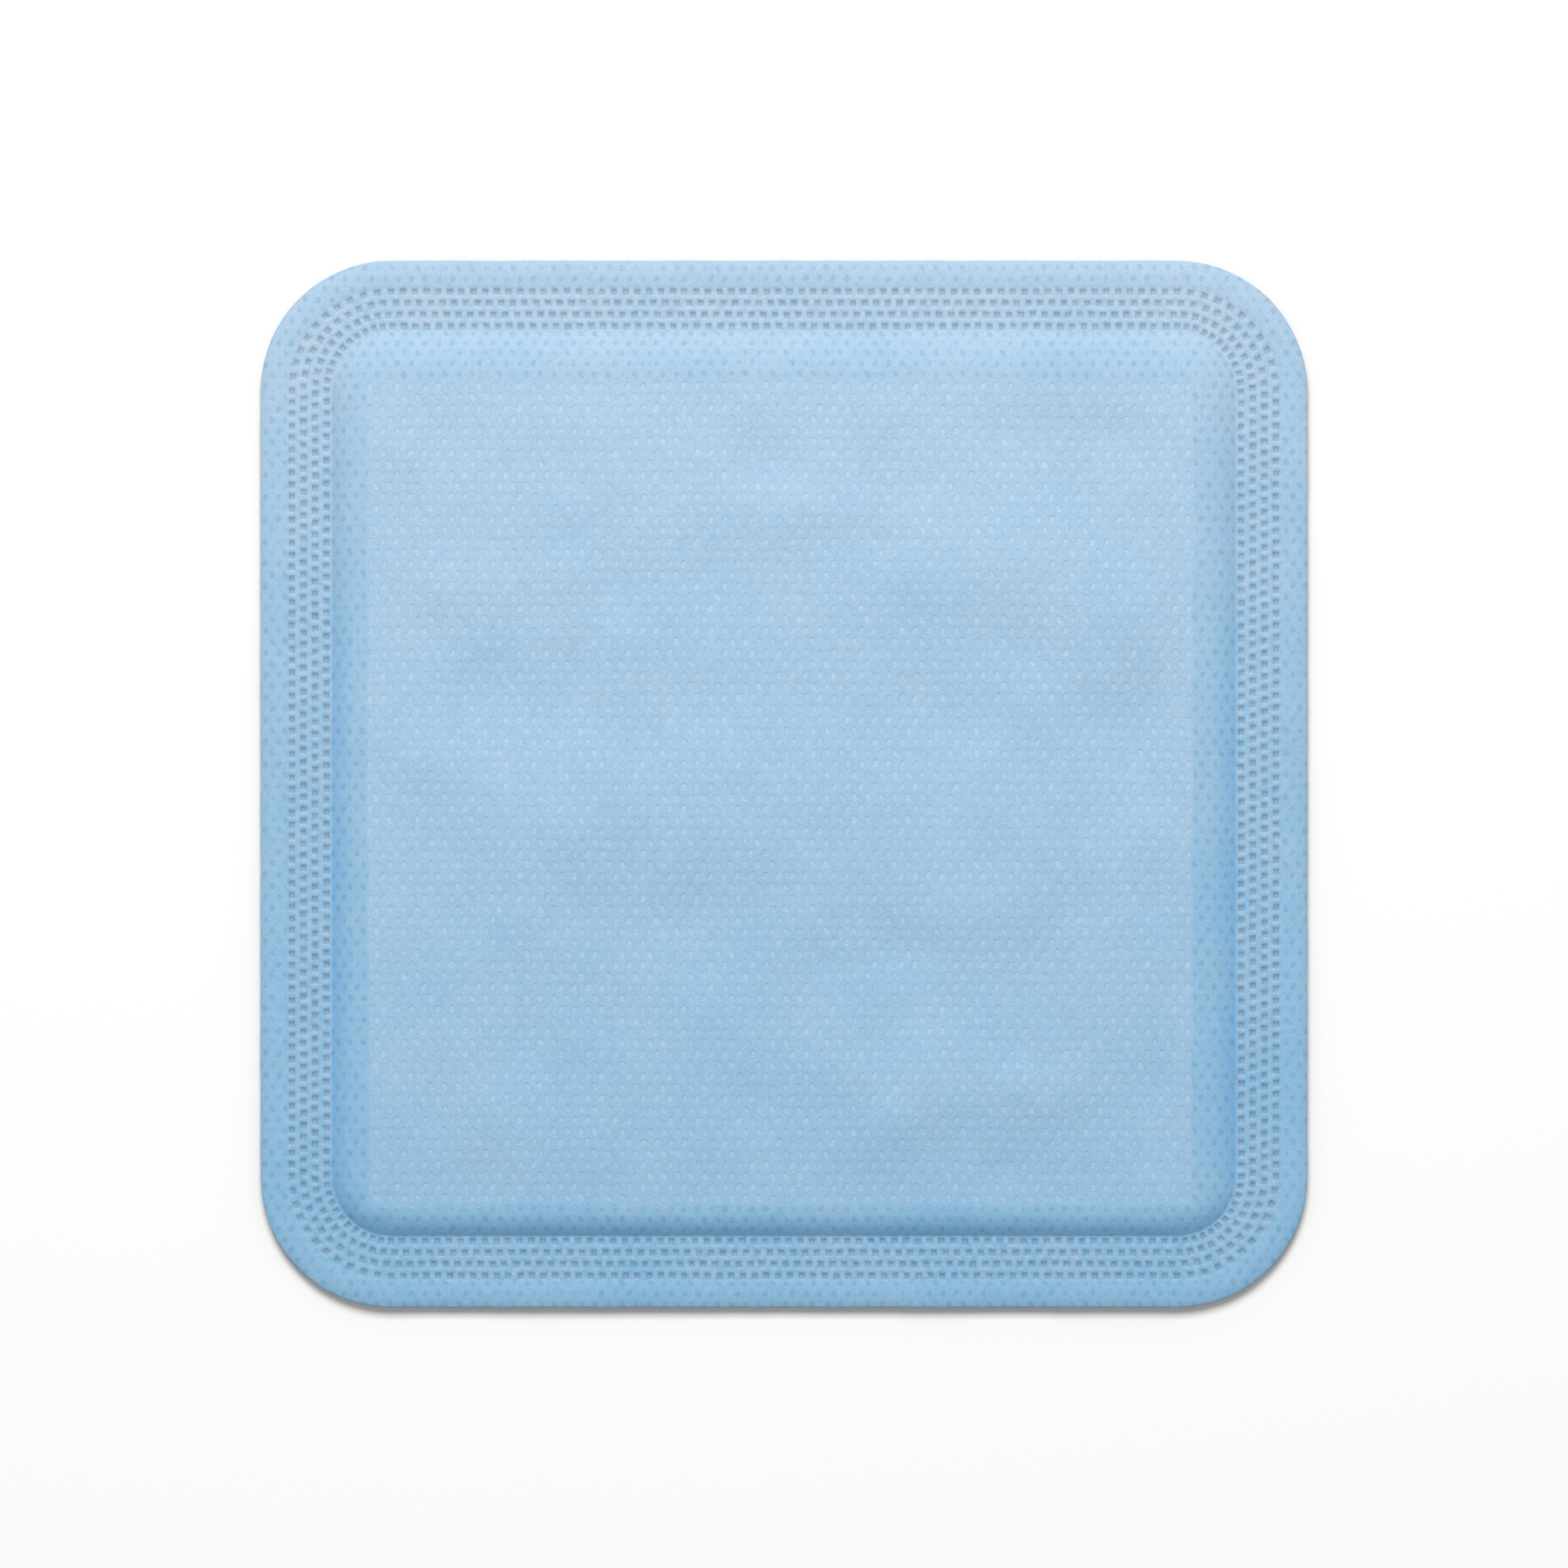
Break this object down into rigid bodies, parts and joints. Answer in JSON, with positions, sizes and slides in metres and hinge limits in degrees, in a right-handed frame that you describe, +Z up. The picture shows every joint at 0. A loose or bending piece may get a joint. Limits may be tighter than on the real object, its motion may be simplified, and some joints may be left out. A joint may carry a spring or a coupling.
{
  "type": "super absorbent dressing",
  "caption": "Square super absorbent wound dressing: soft pale-blue nonwoven pad with rounded corners and a dotted heat-sealed border.",
  "frame": {"origin": "under the middle of the pad, on the surface that it rests on", "axes": "+Z up through the pad, out of the blue backing; +Y towards the far side, the top of the picture; +X to the right"},
  "size_m": [0.125, 0.125, 0.0041],
  "materials": {
    "backing_nonwoven": "pale-blue liquid-repellent spunbond nonwoven, matt, with fine oval bond points",
    "contact_nonwoven": "white wound contact nonwoven on the underside, matt and fibrous"
  },
  "bodies": {
    "root": {"dressing": "backing_nonwoven"}
  },
  "joints": []
}
